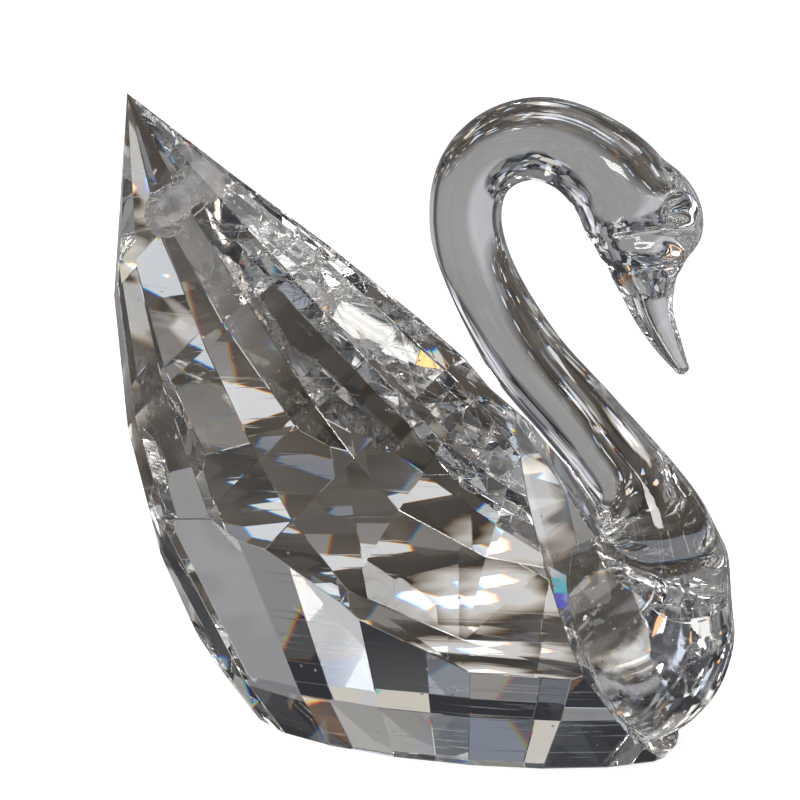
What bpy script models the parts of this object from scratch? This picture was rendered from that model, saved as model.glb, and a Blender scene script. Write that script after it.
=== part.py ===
"""Cut-crystal swan figurine: a faceted body, a cast neck and head, and the adhesive film between them.

Frame: +X is the way the swan looks, +Z is up, and the swan is symmetric about Y = 0.
The origin is under the middle of the model's box, on the plane that the flat base stands on.
Lengths below are in millimetres; the meshes are in metres.
"""

import math

import bmesh
import bpy
from mathutils import Matrix, Vector

MM = 0.001

# ---- Faceted body: a convex solid bounded by flat cuts -------------------------------------------
# Each station is a slanted cross-section: its top point on the spine (x, z), its bottom point on the
# keel (x, z), and its half width. The stations fan round from the tail tip to the bonding face.
STATIONS = [
    ((-34.3, 60.1), (-34.3, 60.1), 0.0),
    ((-22.7, 52.6), (-35.4, 40.2), 5.7),
    ((-13.7, 46.6), (-33.6, 27.6), 10.1),
    ((-5.2, 40.4), (-29.2, 14.6), 14.3),
    ((-0.5, 36.9), (-26.4, 7.6), 16.0),
    ((2.2, 34.6), (-17.5, -4.0), 16.3),
    ((6.6, 30.7), (2.0, -8.0), 14.8),
    ((8.2, 28.2), (22.8, -3.0), 12.6),
]
FACETS_PER_SIDE = 8          # facets from the spine to the keel on each side, at every station
SIDE_CROWDING = 1.06         # above 1 the facets near the spine are narrower than those near the keel
SIDE_FLATNESS = 1.04         # above 1 the back is flatter than an ellipse
LOW_WIDEST = 1.32            # above 1 the body is widest below its middle, and the back is more of a ridge
FLATTENING_STEPS = 400       # small moves of the facet corners until each facet is flat
FLATTENING_HOLD = 0.3        # how strongly the first moves hold the corners to the form above

BASE_LENGTH = 41.6           # the flat oval that the swan stands on
BASE_WIDTH = 20.6
BASE_BANDS = [               # rows of facets round the foot: count, slope in degrees, starting height
    (18, 50.0, 0.0),
    (18, 60.0, 5.5),
]

# ---- Bonding face and breast ---------------------------------------------------------------------
BREAST_CENTRE = (15.6, 10.6)  # centre of the breast's flat back (x, z)
BREAST_RADIUS = 10.0
BREAST_DEPTH = 10.5          # from the flat back to the front of the dome
FACE_LEAN = 26.1             # the bonding face leans back from upright by this angle, in degrees
FILM_THICKNESS = 0.1
FILM_CLEARANCE = 0.1         # left open between the film and the glass on each side of it
FILM_RADIUS = 9.4

# ---- Bore near the tail tip ----------------------------------------------------------------------
BORE_CENTRE = (-28.6, 49.8)  # (x, z), the bore runs straight across the tail
BORE_DIAMETER = 2.8
BORE_CUTTER_LENGTH = 40.0
BORE_SIDES = 24

# ---- Neck and head: round sections along a centre line in the plane Y = 0 ------------------------
# x, z, radius in the plane, half width across it
NECK_SECTIONS = [
    (20.6, 12.0, 4.8, 7.0),
    (19.9, 15.4, 6.0, 7.7),
    (19.2, 18.8, 6.3, 6.9),
    (18.5, 22.2, 5.1, 5.4),
    (16.8, 25.5, 4.2, 4.2),
    (13.9, 28.9, 3.85, 3.85),
    (11.0, 32.0, 3.7, 3.7),
    (5.8, 37.4, 3.6, 3.6),
    (1.5, 44.0, 3.5, 3.5),
    (-0.2, 49.6, 3.4, 3.4),
    (0.5, 54.2, 3.5, 3.5),
    (3.2, 57.1, 3.7, 3.7),
    (7.0, 58.2, 3.9, 3.9),
    (10.8, 57.3, 4.1, 4.2),
    (14.4, 55.0, 4.8, 4.7),
    (16.6, 51.8, 5.3, 4.9),
    (17.3, 48.3, 4.1, 4.0),
    (17.4, 45.6, 3.0, 2.9),
    (18.2, 42.4, 2.0, 2.0),
    (19.6, 39.6, 1.2, 1.2),
    (20.9, 37.6, 0.45, 0.5),
]
NECK_SIDES = 24
STEPS_PER_SECTION = 4        # rings along the centre line between two listed sections
DOME_SIDES = 48
DOME_RINGS = 12
SHARP_ANGLE = 40.0           # edges that fold more than this stay sharp, in degrees


def clear_scene():
    for obj in list(bpy.data.objects):
        bpy.data.objects.remove(obj, do_unlink=True)


def add_object(name, mesh, material):
    obj = bpy.data.objects.new(name, mesh)
    bpy.context.scene.collection.objects.link(obj)
    if material is not None:
        mesh.materials.append(material)
    return obj


def glass_material(name, colour, roughness, transmission):
    material = bpy.data.materials.new(name)
    material.use_nodes = True
    shader = material.node_tree.nodes["Principled BSDF"]
    shader.inputs["Base Color"].default_value = (*colour, 1.0)
    shader.inputs["Roughness"].default_value = roughness
    shader.inputs["Metallic"].default_value = 0.0
    shader.inputs["Transmission Weight"].default_value = transmission
    return material


def face_axes():
    """The bonding face's outward normal, and the direction that runs up the face."""
    lean = math.radians(FACE_LEAN)
    outward = Vector((math.cos(lean), 0.0, math.sin(lean)))
    upward = Vector((-math.sin(lean), 0.0, math.cos(lean)))
    return outward, upward


def joint_gap():
    """How far the body's bonding face lies behind the breast's flat back."""
    return FILM_THICKNESS + 2.0 * FILM_CLEARANCE


def bridge(work, first, second):
    count = len(first)
    for index in range(count):
        nxt = (index + 1) % count
        work.faces.new((first[index], first[nxt], second[nxt], second[index]))


def facet_corner(station, column):
    """A facet corner on the +Y flank: column 0 is on the spine, FACETS_PER_SIDE is on the keel."""
    (top_x, top_z), (low_x, low_z), half_width = STATIONS[station]
    share = (column / FACETS_PER_SIDE) ** SIDE_CROWDING
    drop = ((1.0 - math.cos(math.pi * share)) / 2.0) ** SIDE_FLATNESS
    across = 0.0
    if 0 < column < FACETS_PER_SIDE:
        across = half_width * math.sin(math.pi * share ** LOW_WIDEST)
    return Vector((top_x + (low_x - top_x) * drop, across, top_z + (low_z - top_z) * drop))


def flattened_corners():
    """Corners of the +Y flank, moved a little so that the four corners of each facet lie in one plane."""
    columns = range(FACETS_PER_SIDE + 1)
    first = {(i, k): facet_corner(i, k) for i in range(len(STATIONS)) for k in columns}
    facets = [[(i, k), (i, k + 1), (i + 1, k + 1), (i + 1, k)]
              for i in range(1, len(STATIONS) - 1) for k in range(FACETS_PER_SIDE)]
    corners = dict(first)
    for step in range(FLATTENING_STEPS):
        hold = FLATTENING_HOLD * (1.0 - step / FLATTENING_STEPS)
        moved = {key: [corners[key].lerp(first[key], hold)] for key in corners}
        for facet in facets:
            a, b, c, d = [corners[key] for key in facet]
            middle = (a + b + c + d) / 4.0
            normal = (c - a).cross(d - b).normalized()
            for key in facet:
                moved[key].append(corners[key] - normal * normal.dot(corners[key] - middle))
        for key, places in moved.items():
            if key[0] == 0:          # the tail tip stays where it is
                continue
            corners[key] = sum(places, Vector()) / len(places)
            if key[1] in (0, FACETS_PER_SIDE):
                corners[key].y = 0.0
    return corners


def add_flanks(work):
    """The closed skin of flank and back facets, from the tail tip to an end ahead of the bonding face."""
    corners = flattened_corners()
    tip = work.verts.new(corners[(0, 0)] * MM)
    rings = []
    for station in range(1, len(STATIONS)):
        near = [corners[(station, k)] for k in range(FACETS_PER_SIDE + 1)]
        far = [Vector((c.x, -c.y, c.z)) for c in near[-2:0:-1]]
        rings.append([work.verts.new(corner * MM) for corner in near + far])
    for index in range(len(rings[0])):
        work.faces.new((tip, rings[0][index], rings[0][(index + 1) % len(rings[0])]))
    for first, second in zip(rings, rings[1:]):
        bridge(work, first, second)
    work.faces.new(rings[-1])
    bmesh.ops.recalc_face_normals(work, faces=work.faces[:])


def base_cuts():
    """The rows of facets round the foot, tangent to ovals that grow with height."""
    cuts = []
    squash = BASE_WIDTH / BASE_LENGTH
    radius = BASE_LENGTH / 2.0
    height = 0.0
    slope = 90.0
    for count, next_slope, start in BASE_BANDS:
        radius += (start - height) / math.tan(math.radians(slope))
        height = start
        slope = next_slope
        down = math.radians(90.0 - slope)
        for index in range(count):
            turn = 2.0 * math.pi * (index + 0.5) / count
            point = Vector((radius * math.cos(turn), radius * squash * math.sin(turn), height))
            normal = Vector((math.cos(down) * math.cos(turn),
                             math.cos(down) * math.sin(turn) / squash,
                             -math.sin(down)))
            cuts.append((point, normal.normalized()))
    return cuts


def standing_cut():
    return Vector((0.0, 0.0, 0.0)), Vector((0.0, 0.0, -1.0))


def bonding_cut():
    outward, _ = face_axes()
    centre = Vector((BREAST_CENTRE[0], 0.0, BREAST_CENTRE[1]))
    return centre - outward * joint_gap(), outward


def grind(mesh, point, normal):
    """Take off everything beyond one plane and close the cut with a single flat facet."""
    geometry = mesh.verts[:] + mesh.edges[:] + mesh.faces[:]
    cut = bmesh.ops.bisect_plane(
        mesh, geom=geometry, dist=MM * 0.001, plane_co=point * MM, plane_no=normal, clear_outer=True)
    edges = [item for item in cut["geom_cut"] if isinstance(item, bmesh.types.BMEdge)]
    rim = [edge for edge in edges if len(edge.link_faces) < 2]
    if len(rim) > 2:
        bmesh.ops.contextual_create(mesh, geom=rim)


def bore_cutter():
    mesh = bpy.data.meshes.new("tail_bore_cutter")
    work = bmesh.new()
    radius = BORE_DIAMETER / 2.0 * MM
    bmesh.ops.create_cone(
        work, cap_ends=True, segments=BORE_SIDES, radius1=radius, radius2=radius,
        depth=BORE_CUTTER_LENGTH * MM, matrix=Matrix.Rotation(math.pi / 2.0, 4, "X"))
    work.to_mesh(mesh)
    work.free()
    cutter = add_object("tail_bore_cutter", mesh, None)
    cutter.location = (BORE_CENTRE[0] * MM, 0.0, BORE_CENTRE[1] * MM)
    cutter.hide_render = True
    cutter.display_type = "WIRE"
    return cutter


def build_body():
    work = bmesh.new()
    add_flanks(work)
    for point, normal in [standing_cut(), bonding_cut()] + base_cuts():
        grind(work, point, normal)
    bmesh.ops.recalc_face_normals(work, faces=work.faces[:])
    mesh = bpy.data.meshes.new("faceted_body")
    work.to_mesh(mesh)
    work.free()
    crystal = glass_material("cut_crystal", (0.97, 0.97, 0.97), 0.0, 1.0)
    body = add_object("faceted_body", mesh, crystal)
    bore = body.modifiers.new("tail_bore", "BOOLEAN")
    bore.operation = "DIFFERENCE"
    bore.object = bore_cutter()
    return body


def smooth_between(before, start, end, after, t):
    """Catmull-Rom value between start and end."""
    return 0.5 * (2.0 * start + (end - before) * t
                  + (2.0 * before - 5.0 * start + 4.0 * end - after) * t ** 2
                  + (3.0 * start - before - 3.0 * end + after) * t ** 3)


def neck_stations():
    """The listed neck sections with smooth steps between them."""
    count = len(NECK_SECTIONS)
    stations = []
    for index in range(count - 1):
        before = NECK_SECTIONS[max(index - 1, 0)]
        start, end = NECK_SECTIONS[index], NECK_SECTIONS[index + 1]
        after = NECK_SECTIONS[min(index + 2, count - 1)]
        for step in range(STEPS_PER_SECTION):
            t = step / STEPS_PER_SECTION
            stations.append([smooth_between(*values, t) for values in zip(before, start, end, after)])
    stations.append(list(NECK_SECTIONS[-1]))
    return stations


def ring_loop(work, centre, along, in_plane, across):
    """A closed ring of vertices round the centre line."""
    side = along.cross(Vector((0.0, 1.0, 0.0))).normalized()
    loop = []
    for index in range(NECK_SIDES):
        turn = 2.0 * math.pi * index / NECK_SIDES
        offset = side * (in_plane * math.cos(turn)) + Vector((0.0, across * math.sin(turn), 0.0))
        loop.append(work.verts.new((centre + offset) * MM))
    return loop


def neck_mesh():
    work = bmesh.new()
    stations = neck_stations()
    centres = [Vector((x, 0.0, z)) for x, z, _, _ in stations]
    loops = []
    for index, (_, _, in_plane, across) in enumerate(stations):
        along = centres[min(index + 1, len(centres) - 1)] - centres[max(index - 1, 0)]
        loops.append(ring_loop(work, centres[index], along.normalized(), in_plane, across))
    for first, second in zip(loops, loops[1:]):
        bridge(work, first, second)
    work.faces.new(loops[0])
    work.faces.new(loops[-1])
    bmesh.ops.recalc_face_normals(work, faces=work.faces[:])
    mesh = bpy.data.meshes.new("neck_and_head")
    work.to_mesh(mesh)
    work.free()
    return mesh


def disc_matrix(depth):
    """Stands a solid whose axis is +Z on the bonding face, depth in front of the breast's back."""
    outward, upward = face_axes()
    sideways = outward.cross(upward)
    centre = (Vector((BREAST_CENTRE[0], 0.0, BREAST_CENTRE[1])) + outward * depth) * MM
    turned = Matrix((upward, sideways, outward)).transposed().to_4x4()
    return Matrix.Translation(centre) @ turned


def dome_mesh():
    """The breast: a half-round dome with a flat back."""
    work = bmesh.new()
    turns = [2.0 * math.pi * index / DOME_SIDES for index in range(DOME_SIDES)]
    loops = []
    for ring in range(DOME_RINGS):
        angle = math.pi / 2.0 * ring / DOME_RINGS
        radius = BREAST_RADIUS * math.cos(angle)
        depth = BREAST_DEPTH * math.sin(angle)
        points = [Vector((radius * math.cos(t), radius * math.sin(t), depth)) for t in turns]
        loops.append([work.verts.new(point * MM) for point in points])
    for first, second in zip(loops, loops[1:]):
        bridge(work, first, second)
    top = work.verts.new((0.0, 0.0, BREAST_DEPTH * MM))
    for index in range(DOME_SIDES):
        work.faces.new((loops[-1][index], loops[-1][(index + 1) % DOME_SIDES], top))
    work.faces.new(loops[0])
    bmesh.ops.recalc_face_normals(work, faces=work.faces[:])
    bmesh.ops.transform(work, matrix=disc_matrix(0.0), verts=work.verts[:])
    mesh = bpy.data.meshes.new("breast_dome")
    work.to_mesh(mesh)
    work.free()
    mesh.shade_smooth()
    return mesh


def build_neck():
    crystal = glass_material("cast_crystal", (0.96, 0.96, 0.97), 0.0, 1.0)
    neck = add_object("neck_and_head", neck_mesh(), crystal)
    dome = add_object("breast_dome", dome_mesh(), None)
    dome.hide_render = True
    dome.display_type = "WIRE"
    union = neck.modifiers.new("breast", "BOOLEAN")
    union.operation = "UNION"
    union.object = dome
    neck.data.shade_smooth()
    neck.data.set_sharp_from_angle(angle=math.radians(SHARP_ANGLE))
    return neck


def build_film():
    work = bmesh.new()
    depth = -(FILM_CLEARANCE + FILM_THICKNESS / 2.0)
    bmesh.ops.create_cone(
        work, cap_ends=True, segments=DOME_SIDES,
        radius1=FILM_RADIUS * MM, radius2=FILM_RADIUS * MM,
        depth=FILM_THICKNESS * MM, matrix=disc_matrix(depth))
    mesh = bpy.data.meshes.new("adhesive_film")
    work.to_mesh(mesh)
    work.free()
    adhesive = glass_material("clear_adhesive", (0.93, 0.94, 0.92), 0.05, 0.9)
    return add_object("adhesive_film", mesh, adhesive)


def centre_on_origin(swan, pieces):
    """Slide the whole swan along X so that the middle of its box is over the origin."""
    depsgraph = bpy.context.evaluated_depsgraph_get()
    along = [corner[0] for piece in pieces for corner in piece.evaluated_get(depsgraph).bound_box]
    swan.location.x = -(min(along) + max(along)) / 2.0


def main():
    clear_scene()
    pieces = [build_body(), build_neck(), build_film()]
    swan = add_object("swan", None, None)
    for obj in list(bpy.data.objects):
        if obj is not swan:
            obj.parent = swan
    centre_on_origin(swan, pieces)


main()
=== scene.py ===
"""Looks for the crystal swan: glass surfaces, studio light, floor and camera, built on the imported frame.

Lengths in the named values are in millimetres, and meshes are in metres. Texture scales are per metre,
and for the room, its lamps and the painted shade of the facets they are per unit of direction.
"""

import math
import random

import bmesh
import bpy
import numpy as np
from mathutils import Matrix, Vector


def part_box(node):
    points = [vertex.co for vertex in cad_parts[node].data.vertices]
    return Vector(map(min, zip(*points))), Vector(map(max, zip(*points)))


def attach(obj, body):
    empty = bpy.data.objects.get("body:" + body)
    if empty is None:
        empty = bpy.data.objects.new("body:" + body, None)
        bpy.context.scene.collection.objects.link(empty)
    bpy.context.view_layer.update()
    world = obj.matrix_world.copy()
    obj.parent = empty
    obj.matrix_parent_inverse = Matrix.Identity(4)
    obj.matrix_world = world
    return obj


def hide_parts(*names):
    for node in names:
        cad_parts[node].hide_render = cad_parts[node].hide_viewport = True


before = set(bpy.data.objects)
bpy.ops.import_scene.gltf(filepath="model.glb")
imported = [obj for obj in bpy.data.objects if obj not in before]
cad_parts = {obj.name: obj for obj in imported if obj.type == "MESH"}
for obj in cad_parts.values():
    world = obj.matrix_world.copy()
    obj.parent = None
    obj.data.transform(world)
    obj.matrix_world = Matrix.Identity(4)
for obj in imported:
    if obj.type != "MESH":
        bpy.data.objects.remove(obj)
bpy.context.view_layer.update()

MM = 0.001
FILM_MIDDLE = 15.465         # where the film's middle is in the casting's own design numbers
film_low, film_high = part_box("adhesive_film")
SHIFT_X = (film_low[0] + film_high[0]) / 2 / MM - FILM_MIDDLE    # from those numbers to the frame

# ---- Camera --------------------------------------------------------------------------------------
VIEW_AZIMUTH = 19.0          # degrees; 0 looks from -Y, 90 from +X
VIEW_ELEVATION = 14.0
VIEW_DISTANCE = 450.0
VIEW_TARGET = (-1.4, 0.0, 31.0)
VIEW_AIM = (-0.665, 1.141)   # how far right and up of the target the lens points
VIEW_LENS = 213.0
SENSOR_WIDTH = 36.0
CLIP_START = 0.01            # metres
BOUNCES = 64                 # enough for light that stays long in the narrow gap behind the neck
CLEAR_BOUNCES = 16

# ---- What rays see that have passed through the glass ----------------------------------------------
# A row of STEPS is a start, an end and a brightness: a cell whose random number is past the end is
# brighter by that much, and between the start and the end by a part of it.
# The table is painted into the floor's glow, which only rays through the glass see: painted shade and shadow,
# painted flecks and pools of light.
DARK = (0.042, 0.036, 0.030)           # the shaded table
MOTTLE_SCALE = 45.0
MOTTLE_RANGE = (0.35, 0.68)
MOTTLE_SHADE = (0.75, 2.9)             # the table's darkest and lightest patches, times DARK
GLINT_SCALE = 110.0                    # painted flecks of light on the table
GLINT_STEPS = [(0.55, 0.60, 0.03), (0.90, 0.92, 0.15), (0.970, 0.975, 0.50)]
SPARK_SCALE = 240.0                    # smaller, brighter flecks
SPARK_STEPS = [(0.955, 0.962, 0.75)]
GLINT_SPLIT = 0.0002                   # how far apart the colours of a fleck lie, metres
TABLE_REACH = (0.11, 0.16)             # from the swan to where the table fades into the walls, metres
WOBBLE_SCALE = 160.0                   # uneven edges of the pools of light
WOBBLE_REACH = 0.010                   # metres
FAR_SIDE = 0.8                         # the same pools again on the other side of the swan, weaker
POOL_FRINGE = (1.03, 1.0, 0.97)        # size of a pool in red, green and blue
# Painted pools of light on the table, glowing in the floor: x, y, half length, half width, turn in degrees,
# strength, softness
TABLE_LIGHTS = [
    (-7.5, 36.5, 8.5, 5.0, 118.0, 0.64, 0.30),
    (-16.0, 66.0, 3.5, 1.8, 100.0, 0.40, 0.30),
    (-37.0, 15.0, 13.0, 2.2, -4.0, 0.60, 0.30),
    (-38.0, 41.0, 8.0, 4.0, -30.0, 0.16, 0.40),
    (-12.0, 80.0, 10.0, 1.8, 95.0, 0.50, 0.20),
    (12.0, 75.0, 9.0, 2.0, 65.0, 0.50, 0.20),
    (-2.0, -12.0, 9.0, 3.0, 10.0, 0.50, 0.30),
]

NIGHT = (0.034, 0.036, 0.042)          # the unlit room
ROOM_SCALE = 15.0                      # the room near the horizon, broken into light and shade
ROOM_SPLIT = 0.0008                    # how far apart the colours of an edge lie, radians
ROOM_STEPS = [(0.35, 0.38, 0.09), (0.60, 0.63, 0.15), (0.82, 0.85, 0.36)]
ROOM_FLOOR = (0.0, 0.06)               # heights, as sines, between which the walls turn into that room
ROOM_TOP = (0.34, 0.44)                # and between which it ends
LAMP_SCALE = 20.0                      # sparse small lamps overhead
LAMP_SPLIT = 0.0010
LAMP_STEPS = [(0.972, 0.976, 3.5)]
LAMPS_FROM = (0.36, 0.44)
CELL_HUE = 0.30                        # how far one cell's colour may lean from the next one's
CELL_NEUTRAL = 0.55
CELL_WARMTH = (1.0, 0.3, -1.0)         # how red, green and blue follow that lean
SPLIT_SLANT = 0.6                      # how far the split runs along Y for each step along X

# The walls, four times round: place in a quarter turn, colour
PANEL_START = 145.0                    # degrees
PANEL_TURN = math.pi / 2
PANELS = [
    (0.00, (0.070, 0.064, 0.056)),
    (0.09, (0.070, 0.064, 0.056)),
    (0.15, (0.290, 0.287, 0.282)),
    (0.58, (0.330, 0.327, 0.322)),
    (0.66, (0.530, 0.525, 0.555)),
    (0.985, (0.500, 0.495, 0.520)),
    (1.00, (0.070, 0.064, 0.056)),
]

WHITE = (1.0, 0.99, 0.97)
AMBER = (1.0, 0.50, 0.16)
BLUE = (0.84, 0.92, 1.10)
PEARL = (1.0, 0.985, 1.03)
# Lamps and panels: azimuth, elevation, half width, half height (as tangents), softness, brightness, colour
SOFTBOXES = [
    (-60.0, 60.0, 0.30, 0.20, 0.06, 1.9, WHITE),
    (100.0, 66.0, 0.28, 0.20, 0.06, 1.7, WHITE),
    (190.0, 60.0, 0.26, 0.20, 0.06, 1.3, WHITE),
    (20.0, 75.0, 0.35, 0.25, 0.06, 2.2, WHITE),
    (115.0, 9.0, 0.17, 0.11, 0.02, 1.0, WHITE),
    (158.0, 11.0, 0.08, 0.15, 0.02, 0.38, PEARL),
    (168.0, 12.0, 0.06, 0.13, 0.02, 0.22, PEARL),
    (205.0, 38.0, 0.55, 0.26, 0.08, 0.20, WHITE),
    (157.0, 13.0, 0.060, 0.120, 0.010, 0.36, WHITE),
    (166.0, 8.0, 0.040, 0.060, 0.010, 0.16, WHITE),
    (174.0, 12.0, 0.045, 0.080, 0.010, 0.30, WHITE),
    (300.0, 30.0, 0.40, 0.24, 0.10, 0.08, BLUE),
    (292.0, 33.0, 0.035, 0.090, 0.012, 1.1, BLUE),
    (21.0, 37.0, 0.160, 0.100, 0.012, 14.0, WHITE),
    (-35.0, 32.0, 0.030, 0.050, 0.008, 14.0, WHITE),
    (215.0, 35.0, 0.035, 0.035, 0.008, 12.0, WHITE),
    (130.0, 30.0, 0.035, 0.035, 0.008, 12.0, WHITE),
    (92.0, 22.0, 0.050, 0.050, 0.010, 2.0, AMBER),
    (250.0, 14.0, 0.040, 0.040, 0.010, 1.6, AMBER),
    (181.0, 23.0, 0.026, 0.026, 0.010, 1.4, AMBER),
    (48.0, 58.0, 0.070, 0.070, 0.010, 2.0, AMBER),
    (-75.0, 24.0, 0.060, 0.060, 0.010, 1.6, AMBER),
]
LEAST_AHEAD = 0.05                     # a lamp shows only to directions within about 87 degrees of it

# ---- The pale studio, as the camera sees it --------------------------------------------------------
PALE_SKY = (1.0, 1.0, 1.0, 1.0)
PALE_GLOW = (0.75, 0.75, 0.75, 1.0)
PALE_FLOOR = (0.7, 0.7, 0.7, 1.0)
FLOOR_RADIUS = 3.0           # metres
FLOOR_SIDES = 96
FLOOR_DROP = 0.0001          # metres below the foot, so that the two never share a plane

# ---- Glass ---------------------------------------------------------------------------------------
CRYSTAL_IOR = 1.56
CAST_IOR = 1.52
FILM_IOR = 1.05
# Painted shade: the darker colour that the facing noise lays on some facets, standing in for the different
# light each facet catches; the real glass is one clear colour.
CRYSTAL_FACET_SHADE = (0.86, 0.86, 0.855)
CAST_FACET_SHADE = (0.965, 0.965, 0.97)
CLEAR = (0.995, 0.995, 0.995, 1.0)
FILM_TINT = (0.97, 0.96, 0.93, 1.0)
FILM_CLEAR = (1.0, 0.995, 0.985, 1.0)
CRYSTAL_SCRATCH = 0.05
CAST_SCRATCH = 0.004
HAIR_STRETCH = (60.0, 60.0, 3000.0)    # polishing marks: long across the glass, fine up it
HAIR_RANGE = (0.62, 0.72)
HAIR_ROUGHNESS = 2.4                   # roughness of a polishing mark, times its scratch depth
CLOUD_SCALE = 180.0
CLOUD_RANGE = (0.45, 0.75)
CLOUD_ROUGHNESS = 0.035
FACET_SHADE_SCALE = 7.0                       # painted shade: facets that face different ways differ a little in darkness
FACET_SHADE_RANGE = (0.35, 0.65)
DUST_SCALE = 650.0
DUST_RANGE = (0.07, 0.11)
DUST_ROUGHNESS = 0.6
DUST_SHARE = 0.88                      # cells with a higher random number hold a speck
BUMP_DEPTH = 0.00002                   # metres
FILM_CLOUD_SCALE = 420.0
FILM_HAZE_RANGE = (0.5, 0.8)
FILM_HAZE = (0.01, 0.08)               # roughness of the film, clear to cloudy
FILM_SPECK_SCALE = 900.0
FILM_SPECK_RANGE = (0.10, 0.16)
FILM_SPECK_ROUGHNESS = 0.25

ARRIS = 0.06                 # tiny flat on every ground edge
ARRIS_ANGLE = math.radians(3.0)
ARRIS_LEAST = 0.5            # shorter edges are left sharp
ARRIS_TOP = 59.0             # and so is the tip of the tail
BORE_RIM = 1.15              # and so are edges within this many bore radii of the bore's axis
SAME_FACET = math.radians(0.3)
SAME_PLACE = 0.00001         # metres

# ---- Bonding face, breast and bore -----------------------------------------------------------------
BREAST_CENTRE = (15.6, 10.6)
BREAST_RADIUS = 10.0
BREAST_DEPTH = 10.5
FACE_LEAN = 26.1             # degrees
BOND_OVERLAP = 0.35          # the breast's back sits this far inside the body, so no air shows in the joint

BORE_CENTRE = (-28.6, 49.8)
BORE_RADIUS = 1.4
CHIP_WIDTH = 0.80            # how far the chipped rim reaches past the hole
CHIP_REACH = 1.2             # how ragged its edge is
CHIP_SCALE = 1500.0
CHIP_RANGE = (0.46, 0.66)
CHIP_ROUGHNESS = 0.09
CHIP_RELIEF = 22.0
CHIP_FADE = 0.0001           # metres

# ---- Neck ------------------------------------------------------------------------------------------
# x, z, radius in the plane, half width across it
NECK_SECTIONS = [
    (20.6, 12.0, 4.8, 7.0),
    (19.9, 15.4, 5.9, 7.3),
    (19.2, 18.8, 6.2, 6.5),
    (18.5, 22.2, 5.1, 5.3),
    (16.8, 25.5, 4.2, 4.2),
    (13.9, 28.9, 3.85, 3.85),
    (11.0, 32.0, 3.7, 3.7),
    (5.8, 37.4, 3.6, 3.6),
    (1.5, 44.0, 3.5, 3.5),
    (-0.2, 49.6, 3.4, 3.4),
    (0.5, 54.2, 3.5, 3.5),
    (3.2, 57.1, 3.7, 3.7),
    (7.0, 58.2, 3.9, 3.9),
    (10.8, 57.3, 4.1, 4.2),
    (14.2, 54.9, 4.6, 4.6),
    (16.3, 51.7, 4.9, 4.7),
    (17.2, 48.3, 4.1, 3.9),
    (17.4, 45.6, 3.0, 2.8),
    (18.2, 42.4, 2.0, 2.0),
    (19.7, 39.5, 1.35, 1.2),
    (20.95, 37.5, 0.75, 0.65),
]
CURVE_STEPS = 24             # straight pieces of the centre line between two listed sections
NECK_BLEND = 1.6             # how softly the neck runs into the breast
FIELD_LOW = (-5.0, -11.5, -0.5)        # the box that the casting's distance field fills
FIELD_HIGH = (28.0, 11.5, 63.5)
GRID_FINE = 0.22             # spacing of that field
GRID = GRID_FINE
SETTLE_STEPS = 2             # times that each point of the skin is moved onto the true surface
PROBE = 0.01                 # step for measuring the field's slope
LEAST_SLOPE = 0.05
SHARP_ANGLE = math.radians(50)

BUBBLES = 40
BUBBLE_RADII = (0.05, 0.17)
BUBBLE_DEPTHS = (0.15, 0.75)           # shares of the breast's depth
BUBBLE_ROOM = 0.85                     # share of the breast's radius at that depth
BUBBLE_SEED = 7

# ---- Head ------------------------------------------------------------------------------------------
BEAK_TOP = 46.5              # below this the beak takes a ridge along each side
BEAK_FADE = 2.5
BEAK_BELOW = 36.0            # lower than the beak's tip
BEAK_BEHIND = 13.0           # behind the beak, ahead of the neck
BEAK_RIDGE = 0.65
BROW_CENTRE = (19.6, 0.0, 52.2)
BROW_RADII = (2.9, 3.2, 4.3)
BROW_LEAN = 23.0             # degrees
BROW_BLEND = 1.2
# Each from a point, to a point, radius, softness; mirrored to the other side
CERE_RIDGES = [((17.4, 3.1, 49.3), (20.2, 1.9, 48.4), 1.10, 0.8)]
HEAD_CREASES = [
    ((14.8, 5.1, 49.9), (18.4, 4.8, 50.6), 0.75, 1.0),
    ((18.4, 4.8, 50.6), (22.3, 3.0, 51.0), 1.00, 1.0),
    ((18.2, 4.3, 46.9), (20.8, 2.5, 46.9), 0.90, 0.9),
]


def face_axes():
    """The bonding face's outward normal, and the direction that runs up the face."""
    lean = math.radians(FACE_LEAN)
    outward = Vector((math.cos(lean), 0.0, math.sin(lean)))
    upward = Vector((-math.sin(lean), 0.0, math.cos(lean)))
    return outward, upward


def direction(azimuth, elevation):
    """The direction from the swan to a place in the room; azimuth 0 is -Y, 90 is +X, in degrees."""
    a, e = math.radians(azimuth), math.radians(elevation)
    return Vector((math.sin(a) * math.cos(e), -math.cos(a) * math.cos(e), math.sin(e)))


# ---- Neck, head and breast as one smooth casting: a distance field, below zero inside the glass ----
def smooth_between(before, start, end, after, t):
    """Catmull-Rom value between start and end."""
    return 0.5 * (2 * start + (end - before) * t + (2 * before - 5 * start + 4 * end - after) * t ** 2
                  + (3 * start - before - 3 * end + after) * t ** 3)


def neck_curve():
    """The listed neck sections with many steps between them."""
    sections = np.array(NECK_SECTIONS)
    rows = []
    for i in range(len(sections) - 1):
        before, start = sections[max(i - 1, 0)], sections[i]
        end, after = sections[i + 1], sections[min(i + 2, len(sections) - 1)]
        for step in range(CURVE_STEPS):
            rows.append(smooth_between(before, start, end, after, step / CURVE_STEPS))
    rows.append(sections[-1])
    return np.array(rows)


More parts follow.
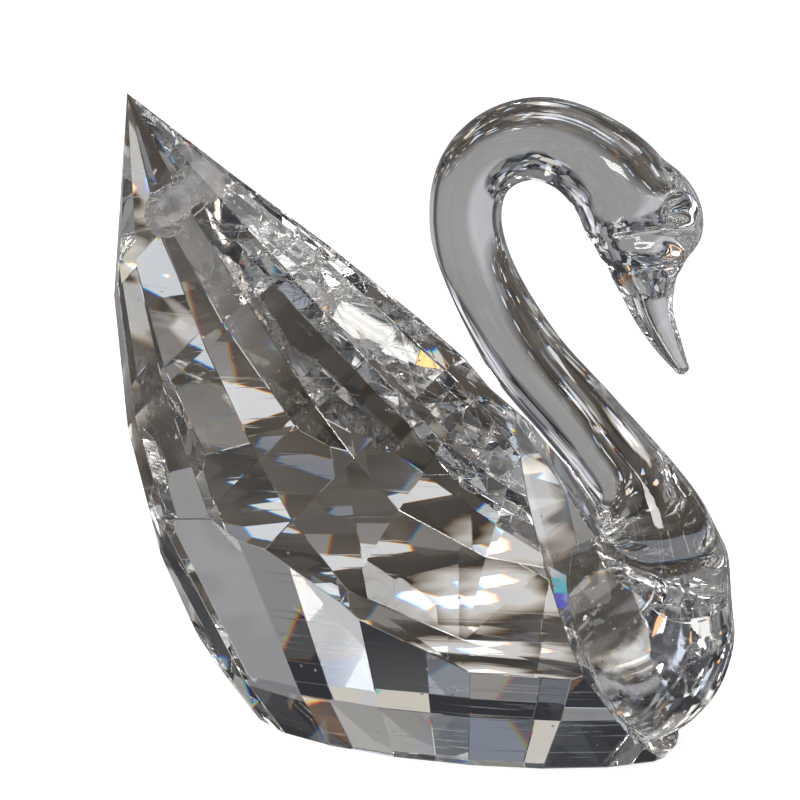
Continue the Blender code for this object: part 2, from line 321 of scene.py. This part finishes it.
def nearest_on_curve(flat, curve):
    """For points (x, z): squared distance to the centre line, and the section's two radii there."""
    best = np.full(len(flat), np.inf)
    near = np.zeros(len(flat), dtype=np.int64)
    for i in range(len(curve)):
        gap = (flat[:, 0] - curve[i, 0]) ** 2 + (flat[:, 1] - curve[i, 1]) ** 2
        closer = gap < best
        best[closer] = gap[closer]
        near[closer] = i
    found = None
    for offset in (-1, 0):
        i = np.clip(near + offset, 0, len(curve) - 2)
        start, run = curve[i, :2], curve[i + 1, :2] - curve[i, :2]
        t = np.clip(((flat - start) * run).sum(1) / np.maximum((run ** 2).sum(1), 1e-12), 0.0, 1.0)
        gap = ((flat - start - run * t[:, None]) ** 2).sum(1)
        radii = curve[i, 2:] * (1 - t[:, None]) + curve[i + 1, 2:] * t[:, None]
        value = np.column_stack([gap, radii])
        found = value if found is None else np.where((gap < found[:, 0])[:, None], value, found)
    return found


def tube_field(points, near):
    """The neck and beak: oval sections, which on the beak sharpen to a ridge along each side."""
    in_plane, across = near[:, 1], near[:, 2]
    on_beak = (points[:, 0] > BEAK_BEHIND) & (points[:, 2] > BEAK_BELOW)
    ridge = np.clip((BEAK_TOP - points[:, 2]) / BEAK_FADE, 0.0, 1.0) * on_beak
    power = 2.0 - BEAK_RIDGE * ridge * ridge * (3.0 - 2.0 * ridge)
    along = np.sqrt(near[:, 0]) ** power
    sideways = np.abs(points[:, 1] * in_plane / across) ** power
    return (along + sideways) ** (1.0 / power) - in_plane


def ellipsoid_field(points, centre, radii, lean):
    """An ellipsoid whose first axis leans up from X by so many degrees."""
    c, s = math.cos(math.radians(lean)), math.sin(math.radians(lean))
    d = points - np.array(centre)
    u = d[:, 0] * c + d[:, 2] * s
    w = -d[:, 0] * s + d[:, 2] * c
    q = np.sqrt((u / radii[0]) ** 2 + (d[:, 1] / radii[1]) ** 2 + (w / radii[2]) ** 2)
    g = np.sqrt((u / radii[0] ** 2) ** 2 + (d[:, 1] / radii[1] ** 2) ** 2 + (w / radii[2] ** 2) ** 2)
    return (q - 1.0) * q / np.maximum(g, 1e-6)


def smooth_union(a, b, softness):
    h = np.clip(0.5 + 0.5 * (b - a) / softness, 0.0, 1.0)
    return b * (1 - h) + a * h - softness * h * (1 - h)


def capsule_field(points, start, end, radius):
    """A groove or ridge with round ends, on both sides of the head."""
    both = points * np.array([1.0, 0.0, 1.0]) + np.abs(points) * np.array([0.0, 1.0, 0.0])
    a, run = np.array(start), np.array(end) - np.array(start)
    t = np.clip(((both - a) * run).sum(1) / (run ** 2).sum(), 0.0, 1.0)
    return np.sqrt(((both - a - run * t[:, None]) ** 2).sum(1)) - radius


def casting_field(points, near):
    tube = tube_field(points, near)
    dome = ellipsoid_field(points, (BREAST_CENTRE[0], 0.0, BREAST_CENTRE[1]),
                           (BREAST_DEPTH, BREAST_RADIUS, BREAST_RADIUS), FACE_LEAN)
    body = smooth_union(tube, dome, NECK_BLEND)
    brow = ellipsoid_field(points, BROW_CENTRE, BROW_RADII, BROW_LEAN)
    body = smooth_union(body, brow, BROW_BLEND)
    for start, end, radius, softness in CERE_RIDGES:
        body = smooth_union(body, capsule_field(points, start, end, radius), softness)
    for start, end, radius, softness in HEAD_CREASES:
        body = -smooth_union(-body, capsule_field(points, start, end, radius), softness)
    return body


def field_at(points, curve):
    return casting_field(points, nearest_on_curve(points[:, [0, 2]], curve))


def field_grid(curve):
    """The field on a grid. It is worked out for +Y only, because the swan's two sides match."""
    low = np.array(FIELD_LOW)
    counts = np.ceil((np.array(FIELD_HIGH) - low) / GRID).astype(int) + 1
    counts[1] = 2 * (counts[1] // 2) + 1
    low[1] = -(counts[1] // 2) * GRID
    axes = [low[k] + np.arange(counts[k]) * GRID for k in range(3)]
    half = counts[1] // 2 + 1
    gx, gy, gz = np.meshgrid(axes[0], axes[1][-half:], axes[2], indexing="ij")
    points = np.stack([gx.ravel(), gy.ravel(), gz.ravel()], axis=1)
    px, pz = np.meshgrid(axes[0], axes[2], indexing="ij")
    flat = nearest_on_curve(np.stack([px.ravel(), pz.ravel()], axis=1), curve)
    flat = flat.reshape(counts[0], 1, counts[2], 3)
    near = np.broadcast_to(flat, (counts[0], half, counts[2], 3)).reshape(-1, 3)
    field = casting_field(points, near).reshape(counts[0], half, counts[2])
    return np.concatenate([field[:, :0:-1], field], axis=1), low


def cell_points(values):
    """A number for each cell that the surface crosses, and the mean of its crossings, in grid steps."""
    nx, ny, nz = values.shape
    corners = [(i, j, k) for i in (0, 1) for j in (0, 1) for k in (0, 1)]
    edges = [(a, b) for a in range(8) for b in range(a + 1, 8)
             if sum(x != y for x, y in zip(corners[a], corners[b])) == 1]

    def at_corner(corner):
        i, j, k = corner
        return values[i:nx - 1 + i, j:ny - 1 + j, k:nz - 1 + k]

    count = np.zeros((nx - 1, ny - 1, nz - 1))
    total = np.zeros((nx - 1, ny - 1, nz - 1, 3))
    for a, b in edges:
        va, vb = at_corner(corners[a]), at_corner(corners[b])
        crossing = (va < 0) != (vb < 0)
        t = np.where(crossing, va / np.where(crossing, va - vb, 1.0), 0.0)
        for axis in range(3):
            pa, pb = corners[a][axis], corners[b][axis]
            total[..., axis] += np.where(crossing, pa + (pb - pa) * t, 0.0)
        count += crossing
    used = count > 0
    index = np.full(used.shape, -1, dtype=np.int64)
    index[used] = np.arange(used.sum())
    return index, np.argwhere(used) + total[used] / count[used][:, None]


def surface_nets(values, origin, step):
    """The surface where the field is zero: a point in each crossed cell, a quad round each crossed edge."""
    inside = values < 0
    index, places = cell_points(values)
    verts = places * step + np.array(origin)
    quads = []
    for axis in range(3):
        first = [slice(None)] * 3
        second = [slice(None)] * 3
        first[axis] = slice(0, -1)
        second[axis] = slice(1, None)
        a, b = inside[tuple(first)], inside[tuple(second)]
        u, v = [k for k in range(3) if k != axis]
        for leaves_glass in (True, False):
            here = np.argwhere(a & ~b if leaves_glass else ~a & b)
            ok = (here[:, u] > 0) & (here[:, v] > 0)
            ok &= (here[:, u] < index.shape[u]) & (here[:, v] < index.shape[v])
            here = here[ok]
            ring = []
            for du, dv in ((-1, -1), (0, -1), (0, 0), (-1, 0)):
                place = here.copy()
                place[:, u] += du
                place[:, v] += dv
                ring.append(index[place[:, 0], place[:, 1], place[:, 2]])
            ring = np.stack(ring, axis=1)
            if (axis == 1) == leaves_glass:
                ring = ring[:, ::-1]
            quads.append(ring)
    return verts, np.concatenate(quads)


def settle(verts, curve):
    """Move each point of the skin onto the true surface, down the field's slope."""
    for _ in range(SETTLE_STEPS):
        value = field_at(verts, curve)
        changes = [field_at(verts + step, curve) - value for step in np.eye(3) * PROBE]
        slope = np.stack(changes, axis=1) / PROBE
        verts = verts - slope * (value / np.maximum((slope ** 2).sum(1), LEAST_SLOPE))[:, None]
    return verts


def casting_mesh():
    """Neck, head and breast: the field's skin, cut off flat at the bonding face."""
    curve = neck_curve()
    field, low = field_grid(curve)
    verts, quads = surface_nets(field, low, GRID)
    verts = settle(verts, curve)
    mesh = bpy.data.meshes.new("cast_neck")
    mesh.from_pydata([tuple(v) for v in verts], [], [tuple(int(i) for i in q) for q in quads])
    mesh.update()
    work = bmesh.new()
    work.from_mesh(mesh)
    outward, _ = face_axes()
    centre = Vector((BREAST_CENTRE[0], 0.0, BREAST_CENTRE[1])) - outward * BOND_OVERLAP
    cut = bmesh.ops.bisect_plane(work, geom=work.verts[:] + work.edges[:] + work.faces[:], dist=0.001,
                                 plane_co=centre, plane_no=outward, clear_inner=True)
    rim = [e for e in cut["geom_cut"] if isinstance(e, bmesh.types.BMEdge)]
    made = bmesh.ops.contextual_create(work, geom=rim)
    bmesh.ops.recalc_face_normals(work, faces=work.faces[:])
    for face in work.faces:
        face.smooth = True
    for face in made["faces"]:
        face.smooth = False
    to_frame = Matrix.Scale(MM, 4) @ Matrix.Translation((SHIFT_X, 0, 0))
    bmesh.ops.transform(work, matrix=to_frame, verts=work.verts[:])
    add_bubbles(work)
    work.to_mesh(mesh)
    work.free()
    mesh.set_sharp_from_angle(angle=SHARP_ANGLE)
    return mesh


def add_bubbles(work):
    """Tiny air bubbles trapped in the breast: little shells that face inwards."""
    chance = random.Random(BUBBLE_SEED)
    outward, upward = face_axes()
    base = Vector((BREAST_CENTRE[0] + SHIFT_X, 0.0, BREAST_CENTRE[1]))
    for _ in range(BUBBLES):
        out = chance.uniform(*BUBBLE_DEPTHS) * BREAST_DEPTH
        room = BREAST_RADIUS * math.sqrt(1.0 - (out / BREAST_DEPTH) ** 2) * BUBBLE_ROOM
        turn, reach = chance.uniform(0.0, 2.0 * math.pi), room * math.sqrt(chance.random())
        sideways = Vector((0.0, reach * math.cos(turn), 0.0))
        place = base + outward * out + upward * reach * math.sin(turn) + sideways
        radius = chance.uniform(*BUBBLE_RADII) * MM
        made = bmesh.ops.create_icosphere(work, subdivisions=2, radius=radius,
                                          matrix=Matrix.Translation(place * MM))
        faces = {face for vert in made["verts"] for face in vert.link_faces}
        bmesh.ops.reverse_faces(work, faces=list(faces))
        for face in faces:
            face.smooth = True


# ---- Facetted body ---------------------------------------------------------------------------------
def takes_arris(edge, bore):
    """Long folds get a ground arris, away from the bore and the tip of the tail."""
    middle = (edge.verts[0].co + edge.verts[1].co) / 2
    on_bore = math.hypot(middle.x - bore.x, middle.z - bore.z) < BORE_RIM * BORE_RADIUS * MM
    at_tip = max(vert.co.z for vert in edge.verts) > ARRIS_TOP * MM
    long_enough = edge.calc_length() > ARRIS_LEAST * MM
    folded = edge.is_manifold and edge.calc_face_angle() > ARRIS_ANGLE
    return folded and long_enough and not (on_bore or at_tip)


def body_mesh():
    """The facetted body with its tiny ground arrises."""
    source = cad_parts["faceted_body"].data
    mesh = bpy.data.meshes.new("cut_body")
    mesh.from_pydata([v.co[:] for v in source.vertices], [], [tuple(p.vertices) for p in source.polygons])
    work = bmesh.new()
    work.from_mesh(mesh)
    bmesh.ops.remove_doubles(work, verts=work.verts[:], dist=SAME_PLACE)
    bmesh.ops.dissolve_limit(work, angle_limit=SAME_FACET, verts=work.verts[:], edges=work.edges[:])
    bore = Vector(((BORE_CENTRE[0] + SHIFT_X) * MM, 0.0, BORE_CENTRE[1] * MM))
    ground = [edge for edge in work.edges if takes_arris(edge, bore)]
    bmesh.ops.bevel(work, geom=ground, offset=ARRIS * MM, offset_type="OFFSET", segments=1, profile=0.5,
                    affect="EDGES", clamp_overlap=True)
    work.to_mesh(mesh)
    work.free()
    return mesh


# ---- Node helpers ----------------------------------------------------------------------------------
class Nodes:
    """Short ways to add nodes to one tree. A value is a number, a tuple, or another node's output."""

    def __init__(self, tree):
        self.tree = tree
        tree.nodes.clear()

    def new(self, kind, inputs=None, **settings):
        node = self.tree.nodes.new(kind)
        for key, value in settings.items():
            setattr(node, key, value)
        for key, value in (inputs or {}).items():
            socket = node.inputs[key]
            if isinstance(value, bpy.types.NodeSocket):
                self.tree.links.new(value, socket)
            else:
                socket.default_value = value
        return node

    def math(self, operation, *values, clamp=False):
        return self.new("ShaderNodeMath", dict(enumerate(values)), operation=operation,
                        use_clamp=clamp).outputs[0]

    def vector(self, operation, *values):
        node = self.new("ShaderNodeVectorMath", dict(enumerate(values)), operation=operation)
        return node.outputs["Value" if operation in ("DOT_PRODUCT", "LENGTH") else "Vector"]

    def scaled(self, vector, amount):
        return self.new("ShaderNodeVectorMath", {0: vector, "Scale": amount}, operation="SCALE").outputs[0]

    def joined(self, parts):
        return self.new("ShaderNodeCombineXYZ", dict(enumerate(parts))).outputs[0]

    def parts(self, vector):
        return self.new("ShaderNodeSeparateXYZ", {0: vector}).outputs

    def ramp(self, value, span, start, end):
        """start below the span, end above it, and a straight run between."""
        return self.new("ShaderNodeMapRange", {
            "Value": value, 1: span[0], 2: span[1], 3: start, 4: end}).outputs[0]

    def mix(self, share, first, second):
        return self.new("ShaderNodeMix", {0: share, 6: first, 7: second}, data_type="RGBA").outputs[2]

    def noise(self, place, scale, detail):
        return self.new("ShaderNodeTexNoise", {"Vector": place, "Scale": scale, "Detail": detail}).outputs

    def cells(self, place, scale):
        return self.new("ShaderNodeTexVoronoi", {"Vector": place, "Scale": scale}, feature="F1").outputs

    def object_place(self):
        return self.new("ShaderNodeTexCoord").outputs["Object"]

    def is_camera_ray(self):
        return self.new("ShaderNodeLightPath").outputs["Is Camera Ray"]


def new_material(name):
    material = bpy.data.materials.new(name)
    material.use_nodes = True
    return material, Nodes(material.node_tree)


# ---- Materials of the swan -------------------------------------------------------------------------
def bore_wear(n, place):
    """Near the threading hole in the tail: where the glass is chipped, and the relief of the chips."""
    middle = ((BORE_CENTRE[0] + SHIFT_X) * MM, 0.0, BORE_CENTRE[1] * MM)
    away = n.vector("LENGTH", n.vector("MULTIPLY", n.vector("SUBTRACT", place, middle), (1.0, 0.0, 1.0)))
    chips = n.noise(place, CHIP_SCALE, 4.0)["Fac"]
    ragged = n.math("ADD", away, n.math("MULTIPLY", n.math("SUBTRACT", chips, 0.5), CHIP_REACH * MM))
    limit = (BORE_RADIUS + CHIP_WIDTH) * MM
    return n.ramp(ragged, (limit, limit + CHIP_FADE), 1.0, 0.0), chips


def crystal_material(name, tint, ior, scratch, bored=False):
    """Clear crystal: painted shade that makes facets differ a little in darkness, hairline polishing marks,
    haze and specks of dust.
    """
    material, n = new_material(name)
    place = n.object_place()
    stretch = n.new("ShaderNodeMapping", {"Vector": place, "Scale": HAIR_STRETCH}).outputs[0]
    hairs = n.ramp(n.noise(stretch, 1.0, 3.0)["Fac"], HAIR_RANGE, 0.0, 1.0)
    rough = n.ramp(n.noise(place, CLOUD_SCALE, 4.0)["Fac"], CLOUD_RANGE, 0.0, CLOUD_ROUGHNESS)
    # Painted shade: facets darker or clearer by the way they face, standing in for the light each one
    # catches.
    facing = n.new("ShaderNodeNewGeometry").outputs["True Normal"]
    facet_shade_share = n.ramp(n.noise(facing, FACET_SHADE_SCALE, 2.0)["Fac"], FACET_SHADE_RANGE, 0.0, 1.0)
    colour = n.mix(facet_shade_share, (*tint, 1.0), CLEAR)
    dust = n.cells(place, DUST_SCALE)
    speck = n.ramp(dust["Distance"], DUST_RANGE, DUST_ROUGHNESS, 0.0)
    chosen = n.math("GREATER_THAN", n.parts(dust["Color"])[0], DUST_SHARE)
    rough = n.math("ADD", rough, n.math("MULTIPLY", speck, chosen))
    rough = n.math("ADD", rough, n.math("MULTIPLY", hairs, scratch * HAIR_ROUGHNESS))
    height = n.math("MULTIPLY", hairs, scratch)
    if bored:
        frost, chips = bore_wear(n, place)
        matt = n.ramp(chips, CHIP_RANGE, 0.0, CHIP_ROUGHNESS)
        rough = n.math("ADD", rough, n.math("MULTIPLY", frost, matt))
        relief = n.math("MULTIPLY", frost, n.math("MULTIPLY", chips, CHIP_RELIEF))
        height = n.math("ADD", height, relief)
    bump = n.new("ShaderNodeBump", {"Strength": 1.0, "Distance": BUMP_DEPTH, "Height": height})
    shader = n.new("ShaderNodeBsdfPrincipled", {
        "Base Color": colour, "Roughness": rough, "IOR": ior, "Transmission Weight": 1.0,
        "Normal": bump.outputs[0]})
    n.new("ShaderNodeOutputMaterial", {"Surface": shader.outputs[0]})
    return material


def film_material():
    """Cured clear adhesive: faintly cloudy, with specks of trapped air."""
    material, n = new_material("clear_adhesive")
    place = n.object_place()
    cloud = n.noise(place, FILM_CLOUD_SCALE, 4.0)["Fac"]
    speck = n.ramp(n.cells(place, FILM_SPECK_SCALE)["Distance"], FILM_SPECK_RANGE, FILM_SPECK_ROUGHNESS, 0.0)
    haze = n.ramp(cloud, FILM_HAZE_RANGE, *FILM_HAZE)
    shader = n.new("ShaderNodeBsdfPrincipled", {
        "Base Color": n.mix(cloud, FILM_TINT, FILM_CLEAR), "Roughness": n.math("ADD", haze, speck),
        "IOR": FILM_IOR, "Transmission Weight": 1.0})
    n.new("ShaderNodeOutputMaterial", {"Surface": shader.outputs[0]})
    return material


# ---- Studio ----------------------------------------------------------------------------------------
def panels(n, vector):
    """The studio's walls: pale lavender and grey panels with dark gaps, four times round."""
    x, y, _ = n.parts(vector)
    heading = n.math("ARCTAN2", x, n.math("MULTIPLY", y, -1.0))
    turn = n.math("DIVIDE", n.math("SUBTRACT", heading, math.radians(PANEL_START)), PANEL_TURN)
    ramp = n.new("ShaderNodeValToRGB", {0: n.math("FRACT", n.math("ADD", turn, 4.0))})
    stops = ramp.color_ramp.elements
    stops[0].position, stops[0].color = PANELS[0][0], (*PANELS[0][1], 1.0)
    stops[1].position, stops[1].color = PANELS[-1][0], (*PANELS[-1][1], 1.0)
    for place, colour in PANELS[1:-1]:
        stops.new(place).color = (*colour, 1.0)
    return ramp.outputs[0]


def shards(n, vector, scale, split, steps):
    """Hard-edged cells of light, each colour shifted a little, as glass spreads them."""
    channels = []
    for shift, warmth in zip((-split, 0.0, split), CELL_WARMTH):
        moved = n.vector("ADD", vector, (shift, shift * SPLIT_SLANT, 0.0))
        pick, tint, _ = n.parts(n.cells(moved, scale)["Color"])
        lean = n.math("MULTIPLY", n.math("SUBTRACT", tint, CELL_NEUTRAL), CELL_HUE * warmth)
        level = 0.0
        for start, end, amount in steps:
            level = n.math("ADD", level, n.ramp(pick, (start, end), 0.0, amount))
        channels.append(n.math("MULTIPLY", level, n.math("ADD", lean, 1.0)))
    return n.joined(channels)


def table_light(n, place, x, y, length, width, turn, strength, soft):
    """One soft oval of painted light lying on the table, its edge faintly coloured."""
    c, s = math.cos(math.radians(turn)), math.sin(math.radians(turn))
    offset = n.vector("SUBTRACT", place, (x * MM, y * MM, 0.0))
    u = n.vector("DOT_PRODUCT", offset, (c / (length * MM), s / (length * MM), 0.0))
    v = n.vector("DOT_PRODUCT", offset, (-s / (width * MM), c / (width * MM), 0.0))
    distance = n.vector("LENGTH", n.joined((u, v)))
    return n.joined(n.ramp(distance, (fringe - soft, fringe + soft), strength, 0.0) for fringe in POOL_FRINGE)


def shaded_table(n, place):
    """The table as the glass sees it: painted shade, dark and mottled, with painted flecks and pools of
    light.
    """
    mottle = n.ramp(n.noise(place, MOTTLE_SCALE, 1.0)["Fac"], MOTTLE_RANGE, *MOTTLE_SHADE)
    table = n.scaled(DARK, mottle)
    table = n.vector("ADD", table, shards(n, place, GLINT_SCALE, GLINT_SPLIT, GLINT_STEPS))
    table = n.vector("ADD", table, shards(n, place, SPARK_SCALE, GLINT_SPLIT, SPARK_STEPS))
    wobble = n.vector("SUBTRACT", n.noise(place, WOBBLE_SCALE, 1.0)["Color"], (0.5, 0.5, 0.5))
    moved = n.vector("ADD", place, n.scaled(wobble, WOBBLE_REACH))
    for x, y, length, width, turn, strength, soft in TABLE_LIGHTS:
        table = n.vector("ADD", table, table_light(n, moved, x, y, length, width, turn, strength, soft))
        across = table_light(n, moved, x, -y, length, width, -turn, strength * FAR_SIDE, soft)
        table = n.vector("ADD", table, across)
    return table


def floor_material():
    """Pale to the eye; seen through the crystal it glows with the painted shade and light of the table, and
    further off with the walls.
    """
    material, n = new_material("pale_floor")
    place = n.object_place()
    away = n.ramp(n.vector("LENGTH", place), TABLE_REACH, 0.0, 1.0)
    hidden = n.mix(away, shaded_table(n, place), panels(n, place))
    camera_ray = n.is_camera_ray()
    base = n.new("ShaderNodeBsdfDiffuse", {"Color": PALE_FLOOR})
    glow = n.new("ShaderNodeEmission", {"Color": n.mix(camera_ray, hidden, PALE_GLOW), "Strength": 1.0})
    lit = n.new("ShaderNodeAddShader", {0: base.outputs[0], 1: glow.outputs[0]})
    both = n.new("ShaderNodeMixShader", {0: camera_ray, 1: glow.outputs[0], 2: lit.outputs[0]})
    n.new("ShaderNodeOutputMaterial", {"Surface": both.outputs[0]})
    return material


def floor_mesh():
    mesh = bpy.data.meshes.new("floor")
    work = bmesh.new()
    bmesh.ops.create_circle(work, cap_ends=True, segments=FLOOR_SIDES, radius=FLOOR_RADIUS)
    bmesh.ops.translate(work, vec=(0, 0, -FLOOR_DROP), verts=work.verts[:])
    work.to_mesh(mesh)
    work.free()
    return mesh


def patch_mask(n, way, azimuth, elevation, half_w, half_h, soft):
    """How much of a soft-edged rectangle of sky a direction sees."""
    middle = direction(azimuth, elevation)
    right = Vector((0, 0, 1)).cross(middle).normalized()
    up = middle.cross(right)
    ahead = n.vector("DOT_PRODUCT", way, tuple(middle))
    amount = n.math("GREATER_THAN", ahead, LEAST_AHEAD)
    safe = n.math("MAXIMUM", ahead, LEAST_AHEAD)
    for axis, half in ((right, half_w), (up, half_h)):
        place = n.math("DIVIDE", n.vector("DOT_PRODUCT", way, tuple(axis)), safe)
        fall = n.math("MULTIPLY", n.math("ABSOLUTE", place), 1.0 / soft)
        edge = n.math("SUBTRACT", half / soft, fall, clamp=True)
        amount = n.math("MULTIPLY", amount, edge)
    return amount


def studio_world():
    """Pale to the eye; the glass sees walls, a broken-up room, and lamps in the dark overhead."""
    world = bpy.data.worlds.new("studio")
    bpy.context.scene.world = world
    world.use_nodes = True
    n = Nodes(world.node_tree)
    way = n.new("ShaderNodeTexCoord").outputs["Generated"]
    height = n.parts(way)[2]
    room = n.vector("ADD", NIGHT, shards(n, way, ROOM_SCALE, ROOM_SPLIT, ROOM_STEPS))
    low = n.mix(n.ramp(height, ROOM_FLOOR, 0.0, 1.0), panels(n, way), room)
    total = n.mix(n.ramp(height, ROOM_TOP, 1.0, 0.0), n.joined(NIGHT), low)
    lamps = shards(n, way, LAMP_SCALE, LAMP_SPLIT, LAMP_STEPS)
    total = n.vector("ADD", total, n.scaled(lamps, n.ramp(height, LAMPS_FROM, 0.0, 1.0)))
    for azimuth, elevation, half_w, half_h, soft, strength, colour in SOFTBOXES:
        mask = patch_mask(n, way, azimuth, elevation, half_w, half_h, soft)
        light = tuple(strength * part for part in colour)
        total = n.vector("ADD", total, n.scaled(light, mask))
    sky = n.new("ShaderNodeBackground", {"Color": n.mix(n.is_camera_ray(), total, PALE_SKY), "Strength": 1.0})
    n.new("ShaderNodeOutputWorld", {"Surface": sky.outputs[0]})


def add_camera():
    back = direction(VIEW_AZIMUTH, VIEW_ELEVATION)
    right = direction(VIEW_AZIMUTH + 90.0, 0.0)
    up = back.cross(right)
    target = Vector(VIEW_TARGET)
    place = target + back * VIEW_DISTANCE
    aim = target + right * VIEW_AIM[0] + up * VIEW_AIM[1]
    data = bpy.data.cameras.new("camera")
    data.lens = VIEW_LENS
    data.sensor_width = SENSOR_WIDTH
    data.clip_start = CLIP_START
    camera = bpy.data.objects.new("camera", data)
    camera.location = place * MM
    camera.rotation_euler = (aim - place).to_track_quat("-Z", "Y").to_euler()
    bpy.context.scene.collection.objects.link(camera)
    bpy.context.scene.camera = camera


def set_light_paths():
    scene = bpy.context.scene
    scene.view_settings.view_transform = "Standard"
    scene.cycles.max_bounces = BOUNCES
    scene.cycles.transmission_bounces = BOUNCES
    scene.cycles.glossy_bounces = BOUNCES
    scene.cycles.transparent_max_bounces = CLEAR_BOUNCES


def add_piece(name, mesh, material):
    obj = bpy.data.objects.new(name, mesh)
    mesh.materials.clear()
    mesh.materials.append(material)
    bpy.context.scene.collection.objects.link(obj)
    return obj


set_light_paths()
add_camera()
studio_world()
cut = crystal_material("cut_crystal", CRYSTAL_FACET_SHADE, CRYSTAL_IOR, CRYSTAL_SCRATCH, bored=True)
cast = crystal_material("cast_crystal", CAST_FACET_SHADE, CAST_IOR, CAST_SCRATCH)
body = add_piece("facetted_body", body_mesh(), cut)
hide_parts("faceted_body")
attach(body, "root")
neck = add_piece("cast_neck_and_head", casting_mesh(), cast)
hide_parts("neck_and_head")
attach(neck, "root")
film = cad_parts["adhesive_film"]
film.material_slots[0].material = film_material()
floor = add_piece("floor", floor_mesh(), floor_material())
